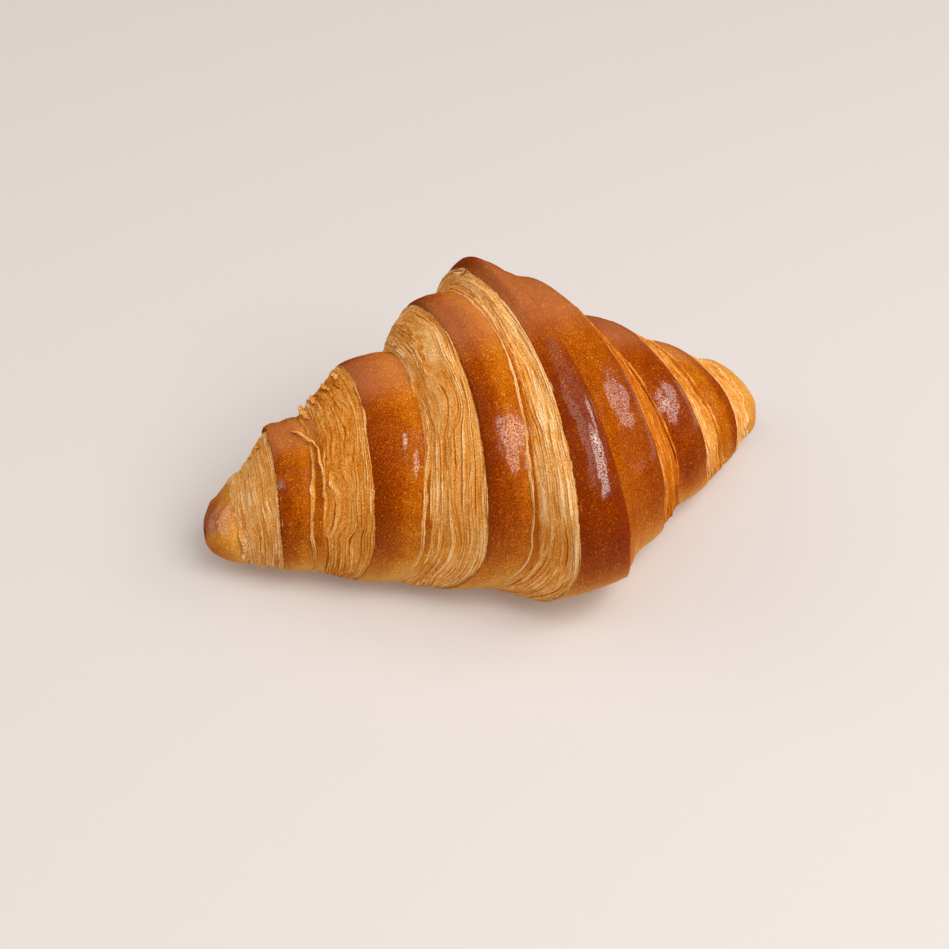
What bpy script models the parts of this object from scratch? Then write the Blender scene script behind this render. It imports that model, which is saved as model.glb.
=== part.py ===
"""A croissant: one rolled, baked piece of laminated dough, lying on its flat underside.

The dough is a triangle rolled up from its wide side, so the outside is a row of crust bands.
Between two bands the cut edge of the dough shows as a sloping face of thin leaves.
The body is one closed surface. It is built as rings round a curved spine, from tip to tip.
Axes: +X along the length, +Y towards the hollow side, +Z up. Sizes below are in millimetres.
"""

import math

import bmesh
import bpy
import numpy as np

MM = 0.001

# Each fold edge is a ring round the body. The strip that follows it is crust or leaves.
# Columns: edge, strip after it, its place along the spine at the back, at the crest, at the
# front and at the foot of the front, then half-width and height of the body there.
EDGES = [
    ("left tip", "crust", -76.0, -76.0, -76.0, -76.0, 0.0, 0.0),
    ("left cap", "leaves", -69.5, -69.0, -67.0, -66.5, 12.3, 17.2),
    ("left outer band, far lip", "crust", -58.5, -58.5, -59.0, -58.8, 19.3, 34.0),
    ("left outer band, near lip", "leaves", -49.0, -49.5, -52.3, -50.6, 20.8, 37.0),
    ("left middle band, far lip", "crust", -37.0, -37.0, -39.0, -45.5, 29.0, 49.5),
    ("left middle band, near lip", "leaves", -23.5, -23.0, -29.5, -39.5, 32.6, 50.5),
    ("left inner band, far lip", "crust", -14.5, -14.0, -17.6, -29.5, 43.0, 61.0),
    ("left inner band, near lip", "leaves", -5.0, -3.0, -8.5, -22.0, 46.4, 60.5),
    ("centre band, left lip", "crust", 2.5, 3.0, -2.8, -11.2, 59.0, 63.5),
    ("centre band, right lip", "leaves", 12.5, 9.6, 7.8, 16.6, 60.0, 64.5),
    ("right inner band, foot", "crust", 18.5, 17.0, 14.6, 24.5, 47.5, 58.0),
    ("right inner band, lip", "leaves", 25.5, 21.8, 23.2, 30.4, 45.6, 56.0),
    ("right middle band, foot", "crust", 31.5, 29.5, 33.4, 40.6, 34.5, 46.5),
    ("right middle band, lip", "leaves", 43.0, 42.4, 44.4, 52.4, 29.0, 39.6),
    ("right outer band, foot", "crust", 51.5, 51.8, 53.2, 61.0, 22.8, 32.8),
    ("right outer band, lip", "leaves", 61.5, 62.3, 60.6, 63.5, 19.8, 25.8),
    ("right cap", "crust", 70.0, 70.0, 67.4, 71.8, 15.6, 19.8),
    ("right tip", "", 77.0, 77.0, 77.0, 77.0, 0.0, 0.0),
]
CENTRE_BAND = 8  # index of the edge where the centre band starts

TURN = math.radians(30.0) / 150.0  # how much the spine turns for each millimetre of length
BACK_AT_TIPS = 0.82  # reach of the hollow side, as a share of the front's
BACK_AT_MIDDLE = 0.74
WIDEST = 0.45  # height of the widest line, as a share of the body's height
SQUARE = 2.78  # power of the lower half's rounded square
TIP_LIFT = 3.0  # how far the underside rises towards the tips
LIFT_FROM = 42.0  # distance along the spine where that rise starts
LIFT_OVER = 30.0  # length of the rise
SOLE = 0.7  # what is flattened off the underside where it was baked on the tray

BULGE = 1.5  # how far a crust band swells between its two edges
CENTRE_BULGE = 2.4
LIP_DROP = 1.1  # how far the leaves lie below the rim of the crust beside them
LEAF = 0.55  # height of the coarse leaf ridges

AROUND = 56  # points in a ring
CRUST_ROWS = (0.0, 0.2, 0.5, 0.82)  # places across a crust band, 0 to 1
CAP_ROWS = (0.0, 0.1, 0.3, 0.55, 0.8)
LEAF_ROWS = (0.0, 0.11, 0.34, 0.5, 0.68, 0.9)

CRUST_COLOUR = (0.40, 0.135, 0.028, 1.0)
CRUST_ROUGHNESS = 0.38


def edge_table():
    """The numbers of EDGES as one array: back, crest, front, foot, half-width, height."""
    return np.array([row[2:] for row in EDGES])


def rows_along():
    """Every row of the mesh as (edge it starts from, share of the way to the next edge)."""
    rows = []
    last = len(EDGES) - 1
    for index, (_, strip, *_) in enumerate(EDGES[:-1]):
        if index == 0:
            places = CAP_ROWS
        elif index == last - 1:
            places = [0.0] + [1.0 - share for share in reversed(CAP_ROWS[1:])]
        else:
            places = CRUST_ROWS if strip == "crust" else LEAF_ROWS
        rows += [(index, share) for share in places]
    rows.append((last, 0.0))
    return np.array(rows)


def blend(table, column, index, share):
    """The value of a column between an edge and the next, in a straight line."""
    after = np.minimum(index + 1, len(table) - 1)
    return table[index, column] * (1 - share) + table[after, column] * share


def swelling(index, share):
    """How far each row stands out from the straight line between its two edges.

    A band swells as a flattened sine. Beside a rim the leaves drop by LIP_DROP, and each
    coarse leaf is a ridge of height LEAF, highest at every second row.
    """
    last = len(EDGES) - 1
    crust = np.array([EDGES[i][1] == "crust" for i in index])
    whole = (index > 0) & (index < last - 1)
    height = np.where(index == CENTRE_BAND, CENTRE_BULGE, BULGE)
    band = height * np.sin(np.pi * share) ** 0.8
    inside = (share > 0) & ~crust
    ridge = LEAF * np.isin(np.round(share, 2), LEAF_ROWS[2::2])
    leaves = np.where(inside, ridge - LIP_DROP, 0.0)
    return np.where(whole & crust, band, np.where(whole, leaves, 0.0))


def rise(along):
    """Height of the underside over the table: nothing in the middle, TIP_LIFT at the tips."""
    return TIP_LIFT * np.clip((np.abs(along) - LIFT_FROM) / LIFT_OVER, 0.0, 1.0) ** 2


def body_points():
    """Points of the body, as an array of rows by AROUND by 3, in millimetres.

    Round a ring the upper half is part of an ellipse and the lower half of a rounded square.
    A ring leans: its place along the spine runs from the crest to the front and to the foot.
    At the two caps the size follows a quarter circle, so that they close as domes.
    """
    table = edge_table()
    rows = rows_along()
    index = rows[:, 0].astype(int)
    share = rows[:, 1]
    last = len(EDGES) - 1
    left, right = index == 0, index >= last - 1

    place = np.where(left, 1 - np.cos(share * np.pi / 2), share)
    place = np.where(right, np.sin(share * np.pi / 2), place)
    grow = np.where(left, np.sin(share * np.pi / 2) ** 0.8, share)
    grow = np.where(right, 1 - np.cos(share * np.pi / 2) ** 0.8, grow)

    back, crest, front, foot = (blend(table, column, index, place) for column in range(4))
    swell = swelling(index, share)
    half = blend(table, 4, index, grow) + swell
    tall = blend(table, 5, index, grow) + swell
    tall = np.maximum(tall - rise((crest + front) / 2), 0.0)

    angle = np.linspace(0.0, 2 * np.pi, AROUND, endpoint=False)
    cos, sin = np.cos(angle), np.sin(angle)
    towards_front = (1 - cos) / 2
    towards_front = towards_front**2 * (3 - 2 * towards_front)
    up = np.clip(sin, 0, 1) ** 2
    down = np.clip(-sin, 0, 1) ** 1.5

    side = np.outer(front, towards_front) + np.outer(back, 1 - towards_front)
    along = side * (1 - up) + np.outer(crest, up) + np.outer(foot - front, down)

    fullness = half / table[:, 4].max()
    back_share = BACK_AT_TIPS + (BACK_AT_MIDDLE - BACK_AT_TIPS) * fullness**2
    reach = np.where(cos < 0, half[:, None], (half * back_share)[:, None])
    round_out = np.where(sin >= 0, np.abs(cos), np.abs(cos) ** (2 / SQUARE)) * np.sign(cos)
    across = reach * round_out
    belt = (WIDEST * tall)[:, None]
    over = belt + np.outer((1 - WIDEST) * tall, sin)
    under = belt * (1 - np.abs(sin) ** (2 / SQUARE))
    height = np.where(sin >= 0, over, under) + rise((crest + front) / 2)[:, None]

    for rows_of_cap, edge in ((left, 1), (right, last - 1)):
        centre = WIDEST * table[edge, 5] - rise((crest + front) / 2)[rows_of_cap]
        share_closed = 1 - half[rows_of_cap] / table[edge, 4]
        height[rows_of_cap] += (centre * share_closed)[:, None]
    height = np.maximum(height - SOLE, 0.0)

    turned = TURN * along
    x = np.sin(turned) / TURN - across * np.sin(turned)
    y = (1 - np.cos(turned)) / TURN + across * np.cos(turned)
    points = np.stack([x, y, height], axis=-1)
    flat = points.reshape(-1, 3)
    middle = (flat.min(axis=0) + flat.max(axis=0)) / 2
    middle[2] = flat[:, 2].min()
    return points - middle


def build_body():
    """One mesh: rings joined to their neighbours, and one point at each tip."""
    points = body_points() * MM
    mesh = bpy.data.meshes.new("croissant")
    body = bmesh.new()
    left_tip = body.verts.new(points[0].mean(axis=0))
    right_tip = body.verts.new(points[-1].mean(axis=0))
    rings = [[body.verts.new(point) for point in ring] for ring in points[1:-1]]
    for ring, after in zip(rings, rings[1:]):
        for k in range(AROUND):
            j = (k + 1) % AROUND
            body.faces.new((ring[k], ring[j], after[j], after[k]))
    for k in range(AROUND):
        j = (k + 1) % AROUND
        body.faces.new((left_tip, rings[0][j], rings[0][k]))
        body.faces.new((right_tip, rings[-1][k], rings[-1][j]))
    bmesh.ops.recalc_face_normals(body, faces=body.faces)
    bmesh.ops.triangulate(body, faces=body.faces)
    body.to_mesh(mesh)
    body.free()
    mesh.shade_smooth()
    return mesh


def crust_material():
    """Baked, egg-washed crust: brown, with a soft gloss."""
    material = bpy.data.materials.new("baked crust")
    material.use_nodes = True
    shader = material.node_tree.nodes["Principled BSDF"]
    shader.inputs["Base Color"].default_value = CRUST_COLOUR
    shader.inputs["Roughness"].default_value = CRUST_ROUGHNESS
    shader.inputs["Metallic"].default_value = 0.0
    material.diffuse_color = CRUST_COLOUR
    return material


def main():
    for thing in list(bpy.data.objects):
        bpy.data.objects.remove(thing, do_unlink=True)
    mesh = build_body()
    mesh.materials.append(crust_material())
    croissant = bpy.data.objects.new("croissant", mesh)
    bpy.context.scene.collection.objects.link(croissant)


main()
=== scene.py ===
# %% [markdown]
# # A croissant
#
# A croissant is one triangle of laminated dough, rolled up from its wide side. The roll
# shows the outside of the dough as brown bands of crust, and between two bands it shows
# the cut edge of the dough: a sloping face of very thin leaves.
#
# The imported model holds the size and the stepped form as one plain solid. This lesson
# dresses it. Each band and each face becomes a piece of its own, because crust and leaves
# need different grids: a band is smooth, and a face has a leaf every half millimetre.

import math

import bpy
import numpy as np
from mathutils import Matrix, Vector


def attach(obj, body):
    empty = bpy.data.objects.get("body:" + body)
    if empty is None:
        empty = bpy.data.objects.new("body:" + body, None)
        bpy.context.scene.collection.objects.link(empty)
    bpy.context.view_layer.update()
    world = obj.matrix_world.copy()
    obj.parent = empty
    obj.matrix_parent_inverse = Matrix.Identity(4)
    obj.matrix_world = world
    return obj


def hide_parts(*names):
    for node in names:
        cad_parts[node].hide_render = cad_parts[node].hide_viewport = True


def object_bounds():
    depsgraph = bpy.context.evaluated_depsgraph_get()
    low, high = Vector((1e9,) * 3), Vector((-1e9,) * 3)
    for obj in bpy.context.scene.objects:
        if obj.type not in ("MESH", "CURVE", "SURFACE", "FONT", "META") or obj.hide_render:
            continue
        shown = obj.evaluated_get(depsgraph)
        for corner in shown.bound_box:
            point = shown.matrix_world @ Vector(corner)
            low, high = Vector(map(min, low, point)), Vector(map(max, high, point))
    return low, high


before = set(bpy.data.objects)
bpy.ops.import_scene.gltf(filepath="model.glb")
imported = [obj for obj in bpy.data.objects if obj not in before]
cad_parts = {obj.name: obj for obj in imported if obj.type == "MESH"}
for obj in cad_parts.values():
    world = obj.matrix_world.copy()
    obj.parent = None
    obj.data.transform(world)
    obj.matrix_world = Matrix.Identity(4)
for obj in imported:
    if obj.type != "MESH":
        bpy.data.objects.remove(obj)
cad_low, cad_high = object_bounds()
MM = 0.001
print("CAD box in mm:", [round(side / MM, 1) for side in cad_high - cad_low])

# %% [markdown]
# ## Camera
#
# The camera stands in front of the croissant, to the left and above, and looks down on it
# at about 37 degrees. A long lens keeps the two tips nearly the same size. The camera is
# made first, so that each piece can be looked at as soon as it exists.

# %% Camera
CAMERA_PLACE = (-0.2426, -0.5233, 0.4439)
CAMERA_TILT = 53.377  # degrees from looking straight down
CAMERA_TURN = -24.061  # degrees about the vertical
LENS = 106.96  # mm, on a sensor 36 mm wide

camera_data = bpy.data.cameras.new("camera")
camera_data.lens = LENS
camera_data.sensor_width = 36.0
camera = bpy.data.objects.new("camera", camera_data)
camera.location = CAMERA_PLACE
camera.rotation_euler = (math.radians(CAMERA_TILT), 0.0, math.radians(CAMERA_TURN))
bpy.context.scene.collection.objects.link(camera)
bpy.context.scene.camera = camera
print("camera at", CAMERA_PLACE)

# %% [markdown]
# ## The rolled form
#
# Every fold edge runs round the body like a hoop. Four numbers place a hoop along the
# length: at the back, the crest, the front and the foot of the front, because the hoops
# lean. Two more give the body's half-width and height there. Between two hoops lies one
# strip, of crust or of leaves.
#
# Nearly all of these are the solid's own driving sizes, so the dressed pieces sit on it.
# Only five hoops differ: they stand up to 2 mm higher, and one is half a millimetre wider.

# %% Fold edges
EDGES = [  # edge, strip after it, back, crest, front, foot, half-width, height, all in mm
    ("left tip", "crust", -76.0, -76.0, -76.0, -76.0, 0.0, 0.0),
    ("left cap", "leaves", -69.5, -69.0, -67.0, -66.5, 12.3, 17.2),
    ("left outer band, far lip", "crust", -58.5, -58.5, -59.0, -58.8, 19.3, 34.0),
    ("left outer band, near lip", "leaves", -49.0, -49.5, -52.3, -50.6, 20.8, 37.0),
    ("left middle band, far lip", "crust", -37.0, -37.0, -39.0, -45.5, 29.0, 49.5),
    ("left middle band, near lip", "leaves", -23.5, -23.0, -29.5, -39.5, 32.6, 50.5),
    ("left inner band, far lip", "crust", -14.5, -14.0, -17.6, -29.5, 43.0, 61.0),
    ("left inner band, near lip", "leaves", -5.0, -3.0, -8.5, -22.0, 46.4, 62.0),
    ("centre band, left lip", "crust", 2.5, 3.0, -2.8, -11.2, 59.0, 63.5),
    ("centre band, right lip", "leaves", 12.5, 9.6, 7.8, 16.6, 60.0, 64.5),
    ("right inner band, foot", "crust", 18.5, 17.0, 14.6, 24.5, 48.0, 60.0),
    ("right inner band, lip", "leaves", 25.5, 21.8, 23.2, 30.4, 45.6, 57.8),
    ("right middle band, foot", "crust", 31.5, 29.5, 33.4, 40.6, 34.5, 47.4),
    ("right middle band, lip", "leaves", 43.0, 42.4, 44.4, 52.4, 29.0, 40.4),
    ("right outer band, foot", "crust", 51.5, 51.8, 53.2, 61.0, 22.8, 32.8),
    ("right outer band, lip", "leaves", 61.5, 62.3, 60.6, 63.5, 19.8, 25.8),
    ("right cap", "crust", 70.0, 70.0, 67.4, 71.8, 15.6, 19.8),
    ("right tip", "", 77.0, 77.0, 77.0, 77.0, 0.0, 0.0),
]
TABLE = np.array([row[2:] for row in EDGES])
LAST = len(EDGES) - 1
CREST = 9  # the tallest hoop, which parts the left half from the right

TURN = math.radians(30.0) / 150.0  # turn of the spine for each millimetre
BACK_AT_TIPS = 0.82  # reach of the hollow side, as a share of the front's
BACK_AT_MIDDLE = 0.74
WIDEST = 0.45  # height of the widest line, as a share of the height
SQUARE = 2.78  # power of the lower half's rounded square
LEFT_LIFT, LEFT_FROM, LEFT_OVER = 4.6, 20.0, 52.0  # rise of the underside toward each tip
RIGHT_LIFT, RIGHT_FROM, RIGHT_OVER = 3.0, 42.0, 30.0
SHOULDER = 1.82  # power of the front's upper quarter on the right, where it is flatter
SHOULDER_FROM, SHOULDER_TO = 7, 16  # the hoops between which it is
SHOULDER_FADE = 1.5  # hoops over which it comes and goes
TIP_POWER = 0.8  # how bluntly the two tips close
LEFT_TIP_HEIGHT = 0.56  # height of the left tip, as a share of the cap's
SOLE = 0.7  # flattened off the underside
print(len(EDGES), "fold edges,", sum(row[1] == "crust" for row in EDGES), "crust strips")

# %% [markdown]
# ## Noise that closes round a ring
#
# Dough is uneven at every scale. All of that comes from one function: random numbers on a
# small lattice, joined smoothly. Round the body the lattice wraps, so no seam shows. Every
# draw starts from a fixed seed, so the same croissant comes out on every run.

# %% Noise on a lattice
def smooth(x):
    """The smoothstep curve: 3 x squared less 2 x cubed, for x held between 0 and 1."""
    x = np.clip(x, 0.0, 1.0)
    return x * x * (3 - 2 * x)


def rises(x, start, over):
    """0 up to start, 1 from start plus over, and smooth in between."""
    return smooth((x - start) / over)


def bell(x):
    """The bell curve: e to the power of minus x squared."""
    return np.exp(-x**2)


def lattice(seed, across, around):
    """Random numbers from -1 to 1: one row for each cell across, one column round the ring."""
    return np.random.default_rng(seed).uniform(-1, 1, (across + 2, around))


def noise(seed, across, around, u, v):
    """Smooth noise from -1 to 1 at u (0 to 1 across the strip) and v (0 to 1 round it).

    The four lattice numbers about a point are mixed by smoothstep weights, and v wraps.
    """
    table = lattice(seed, across, around)
    x = np.clip(u, 0.0, 1.0) * across
    y = (v % 1.0) * around
    i, j = np.floor(x).astype(int), np.floor(y).astype(int) % around
    a, b = smooth(x - np.floor(x)), smooth(y - np.floor(y))
    k = (j + 1) % around
    low = table[i, j] * (1 - b) + table[i, k] * b
    high = table[i + 1, j] * (1 - b) + table[i + 1, k] * b
    return low * (1 - a) + high * a


def octaves(seed, across, around, u, v, count=3):
    """Noise added to itself at twice the detail and half the height, count times."""
    total = 0.0
    for k in range(count):
        total = total + noise(seed + k, across * 2**k, around * 2**k, u, v) / 2**k
    return total / (2 - 0.5 ** (count - 1))


u, v = np.meshgrid(np.linspace(0, 1, 60), np.linspace(0, 1, 60))
sample = octaves(1, 3, 9, u, v)
print("a sample of noise runs from", sample.min().round(2), "to", sample.max().round(2))

# %% [markdown]
# ## A point on the body
#
# One function turns "place along the table of hoops, angle round the hoop, distance out"
# into a point. It works on whole arrays, so a strip of a hundred thousand points takes a
# few hundredths of a second. A place of 4.5 is halfway between hoops 4 and 5, and a strip
# may run on past its own hoops, under its neighbours. The angle is 90 degrees at the
# crest, 180 at the front, 270 underneath and 0 at the hollow back.
#
# A real roll isn't a clean sweep. Its edges stray a little, and here and there it bulges
# or is pinched. Each of those humps and dips is a bell curve added to the distance out,
# which keeps the seams shut, because every strip goes through the same function.

# %% The body as a function
EDGE_WANDER = 0.45  # how far a fold edge strays along the length, in mm
EDGE_SWELL = 0.30  # how far it strays outwards
NOTCHES = [(9.5, 0.42, 2.0), (11.6, 0.45, 2.2)]  # place, half-width in places, mm deep
HUMPS = [  # place, half-width in places, angle, half-angle in degrees, height in mm
    (1.05, 0.22, 62, 42, 3.2),  # full top of the left cap
    (2.45, 0.75, 58, 32, 0.7),  # left outer band, behind its crest
    (8.36, 0.34, 60, 28, 2.4),  # centre band, behind its crest
    (9.0, 0.55, 210, 17, -1.8),  # the low corners beside the two notches, cut back
    (11.0, 0.50, 205, 25, -1.8),
]
SOFT_FROM, SOFT_TO = 9, 11  # ends of the one strip that has a hoop inside it
TAPS = 7  # places that are averaged to round that hoop off


def rise(along):
    """Height of the underside over the table: none in the middle, a square law to the tips."""
    left = LEFT_LIFT * np.clip((-along - LEFT_FROM) / LEFT_OVER, 0.0, 1.0) ** 2
    right = RIGHT_LIFT * np.clip((along - RIGHT_FROM) / RIGHT_OVER, 0.0, 1.0) ** 2
    return left + right


def column(place, number, soften):
    """One column of the table at any place: straight lines, averaged over soften hoops.

    The places that are averaged close up toward the two ends of the softened strip, so
    that its ends stay where they are.
    """
    hoops = np.arange(LAST + 1)
    if soften == 0:
        return np.interp(place, hoops, TABLE[:, number])
    to_an_end = np.minimum(np.abs(place - SOFT_FROM), np.abs(SOFT_TO - place))
    reach = np.minimum(soften, to_an_end)
    spread = np.linspace(-1, 1, TAPS)
    taps = [np.interp(place + reach * k, hoops, TABLE[:, number]) for k in spread]
    return sum(taps) / TAPS


def low_down(angle, start=-0.1, over=0.8):
    """0 above and 1 low down: a smooth rise from where minus the sine of the angle is start."""
    return rises(-np.sin(angle), start, over)


def high_up(angle, start, over):
    """0 below and 1 high up: a smooth rise from where the sine of the angle is start."""
    return rises(np.sin(angle), start, over)


def add_humps(out, place, angle):
    """The distance out with each notch taken off, low at both sides, and each hump added."""
    notched = low_down(angle, 0.25, 0.6)
    for middle, half_width, depth in NOTCHES:
        out = out - depth * notched * bell((place - middle) / half_width)
    for middle, half_width, turn, half_turn, height in HUMPS:
        off = np.hypot((place - middle) / half_width, (np.degrees(angle) - turn) / half_turn)
        out = out + height * bell(off)
    return out


def on_body(place, angle, out, soften=0.0):
    """Points in mm at a place along the hoops, an angle round them and a distance out.

    Half-width and height run in straight lines from one hoop to the next, and out is
    added to both, with the humps. The upper half of a ring is part of an ellipse, the
    lower half of a rounded square. The ring leans from crest to front to foot, and the
    spine is an arc. At a tip the place follows a quarter circle, which closes it as a dome.
    """
    place = np.clip(place, 0, LAST)
    v = angle / (2 * np.pi)
    left = np.clip(place, 0, 1) * np.pi / 2
    right = np.clip(place - LAST + 1, 0, 1) * np.pi / 2
    along_place = np.where(place < 1, 1 - np.cos(left), place)
    along_place = np.where(place > LAST - 1, LAST - 1 + np.sin(right), along_place)
    size_place = np.where(place < 1, np.sin(left) ** TIP_POWER, place)
    shrink = 1 - np.clip(np.cos(right), 0, 1) ** TIP_POWER
    size_place = np.where(place > LAST - 1, LAST - 1 + shrink, size_place)
    closing = np.clip(np.minimum(size_place, LAST - size_place), 0, 1)

    across_edges = place / LAST
    stray = noise(11, LAST, 7, across_edges, v) + 0.5 * noise(12, LAST, 17, across_edges, v)
    swell = noise(13, LAST, 6, across_edges, v) + 0.4 * noise(14, LAST, 19, across_edges, v)
    out = add_humps(out + EDGE_SWELL * swell * closing, place, angle)
    back, crest, front, foot = (column(along_place, k, soften) for k in range(4))
    half, tall = column(size_place, 4, soften), column(size_place, 5, soften)
    lift = rise((crest + front) / 2)
    cap_tall = np.where(place < CREST, TABLE[1, 5], TABLE[LAST - 1, 5])
    tip_height = np.where(place < CREST, LEFT_TIP_HEIGHT, WIDEST)
    middle = np.where(closing < 1, (tip_height * cap_tall - lift) * (1 - closing), 0.0)
    half = np.maximum(half + out * np.minimum(1.0, 3 * closing), 0.0)
    tall = np.maximum(tall + out * np.minimum(1.0, 3 * closing) - lift, 0.0)

    cos, sin = np.cos(angle), np.sin(angle)
    toward = smooth((1 - cos) / 2)
    up, down = np.clip(sin, 0, 1) ** 2, np.clip(-sin, 0, 1) ** 1.5
    side = front * toward + back * (1 - toward)
    along = side * (1 - up) + crest * up + (foot - front) * down
    along = along + EDGE_WANDER * stray * closing

    fullness = half / TABLE[:, 4].max()
    back_share = BACK_AT_TIPS + (BACK_AT_MIDDLE - BACK_AT_TIPS) * fullness**2
    reach = np.where(cos < 0, half, half * back_share)
    flat = rises(place, SHOULDER_FROM, SHOULDER_FADE)
    flat = flat * smooth((SHOULDER_TO - place) / SHOULDER_FADE)
    upper = np.where(cos < 0, 2 / (2 + (SHOULDER - 2) * flat), 1.0)
    power = np.where(sin >= 0, upper, 2 / SQUARE)
    across = reach * np.abs(cos) ** power * np.sign(cos)
    over = WIDEST * tall + (1 - WIDEST) * tall * np.abs(sin) ** upper
    under = WIDEST * tall * (1 - np.abs(sin) ** (2 / SQUARE))
    height = np.where(sin >= 0, over, under) + lift + middle - SOLE

    turned = TURN * along
    x = np.sin(turned) / TURN - across * np.sin(turned)
    y = (1 - np.cos(turned)) / TURN + across * np.cos(turned)
    return np.stack([x, y, height], axis=-1)


def rings(places, around):
    """The two coordinates of a grid: place in rows, angle round in columns."""
    angle = np.linspace(0.0, 2 * np.pi, around, endpoint=False)
    return np.meshgrid(places, angle, indexing="ij")


place, angle = rings(np.linspace(0, LAST, 86), 56)
plain = on_body(place, angle, np.zeros_like(place)).reshape(-1, 3)
box_middle = (np.array(cad_low) + np.array(cad_high)) / 2 / MM
MIDDLE = (plain.min(axis=0) + plain.max(axis=0)) / 2 - box_middle
MIDDLE[2] = 0.0
along, across = (-MIDDLE[:2]).round(2)
print("the body moves by", along, "mm along and", across, "mm across to fit the CAD box")

# %% [markdown]
# ## From arrays to a mesh
#
# A strip is a closed hoop with a hollow inside, like a bicycle tyre: its outer surface, the
# two edges tucked under the neighbours, and a plain inner wall. So no strip has an open
# border, and none shows a gap where it meets the next. A cap is a dome with an inner wall.
#
# Points and faces go into the mesh as whole arrays, which is far quicker than a loop that
# adds them one by one.

# %% Grid to mesh
def normals_of(points):
    """Unit normals of a grid: the cross product of its two central differences."""
    across = np.gradient(points, axis=0)
    along = np.roll(points, -1, axis=1) - np.roll(points, 1, axis=1)
    normal = np.cross(along, across)
    return normal / np.maximum(np.linalg.norm(normal, axis=-1, keepdims=True), 1e-9)


def quads_of(i, j, i_next, j_next, around):
    """Quads between row i and the next, column j and the next, of a grid around columns wide."""
    corners = [i * around + j, i * around + j_next, i_next * around + j_next, i_next * around + j]
    return np.stack(corners, axis=-1).reshape(-1, 4)


def hoop_faces(rows, around):
    """Quads of a grid that wraps both ways."""
    i, j = np.meshgrid(np.arange(rows), np.arange(around), indexing="ij")
    return quads_of(i, j, (i + 1) % rows, (j + 1) % around, around)


def signed_volume(points, faces):
    """Volume inside a closed mesh of quads: a sixth of the sum of corner triple products."""
    a, b, c, d = (points[faces[:, k]] for k in range(4))
    first = np.einsum("ij,ij->i", a, np.cross(b, c)).sum()
    second = np.einsum("ij,ij->i", a, np.cross(c, d)).sum()
    return (first + second) / 6


def facing_out(points, quads, *others):
    """The blocks of faces, all turned round if the quads' signed volume is negative."""
    blocks = [quads, *others]
    if signed_volume(points, quads) < 0:
        blocks = [block[:, ::-1] for block in blocks]
    return blocks


def make_object(name, points, blocks, values):
    """A smooth mesh object from arrays, with point attributes.

    A block is an array of faces with the same number of corners. A value has one number
    for each point, or three where it is a vector.
    """
    sizes = np.concatenate([np.full(len(block), block.shape[1]) for block in blocks])
    corners = np.concatenate([block.ravel() for block in blocks])
    mesh = bpy.data.meshes.new(name)
    mesh.vertices.add(len(points))
    mesh.vertices.foreach_set("co", (points * MM).astype(np.float32).ravel())
    mesh.loops.add(len(corners))
    mesh.loops.foreach_set("vertex_index", corners.astype(np.int32))
    mesh.polygons.add(len(sizes))
    mesh.polygons.foreach_set("loop_start", (np.cumsum(sizes) - sizes).astype(np.int32))
    mesh.update(calc_edges=True)
    mesh.validate()
    mesh.shade_smooth()
    for key, value in values.items():
        alone = value.size == len(points)
        kind, field = ("FLOAT", "value") if alone else ("FLOAT_VECTOR", "vector")
        attribute = mesh.attributes.new(key, kind, "POINT")
        attribute.data.foreach_set(field, value.astype(np.float32).ravel())
    made = bpy.data.objects.new(name, mesh)
    bpy.context.scene.collection.objects.link(made)
    return made


def dress(piece, material):
    """What every finished piece gets: its material, its body and the node it shows."""
    piece.data.materials.append(material)
    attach(piece, "root")
    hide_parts("croissant")
    triangles = sum(len(p.vertices) - 2 for p in piece.data.polygons)
    print(f"{piece.name}: {triangles} triangles")


# %% [markdown]
# ## Shader maths as Python
#
# A node tree is a formula, so it is written as one. The first class below wraps a socket,
# and + - and * on it add the Math nodes. The second is a material under construction.

# %% Shader helper
class Socket:
    """A node's output that can be used in an expression."""

    def __init__(self, tree, output):
        self.tree = tree
        self.output = output

    def math(self, operation, *others, clamp=False):
        """A Math node on this socket and others."""
        node = self.tree.nodes.new("ShaderNodeMath")
        node.operation = operation
        node.use_clamp = clamp
        for k, value in enumerate((self, *others)):
            put(self.tree, node.inputs[k], value)
        return Socket(self.tree, node.outputs[0])

    def __add__(self, other):
        return self.math("ADD", other)

    def __radd__(self, other):
        return self.math("ADD", other)

    def __sub__(self, other):
        return self.math("SUBTRACT", other)

    def __rsub__(self, other):
        return (self * -1.0) + other

    def __mul__(self, other):
        return self.math("MULTIPLY", other)

    def __rmul__(self, other):
        return self.math("MULTIPLY", other)

    def clamped(self):
        """Held between 0 and 1."""
        return self.math("ADD", 0.0, clamp=True)

    def between(self, low, high):
        """0 below low, 1 above high, and smooth in between."""
        node = self.tree.nodes.new("ShaderNodeMapRange")
        node.interpolation_type = "SMOOTHSTEP"
        put(self.tree, node.inputs["Value"], self)
        node.inputs["From Min"].default_value = low
        node.inputs["From Max"].default_value = high
        return Socket(self.tree, node.outputs[0])


def put(tree, target, value):
    """Links a Socket to an input, or sets the input to a number or a colour."""
    if isinstance(value, Socket):
        tree.links.new(value.output, target)
    else:
        target.default_value = value


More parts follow.
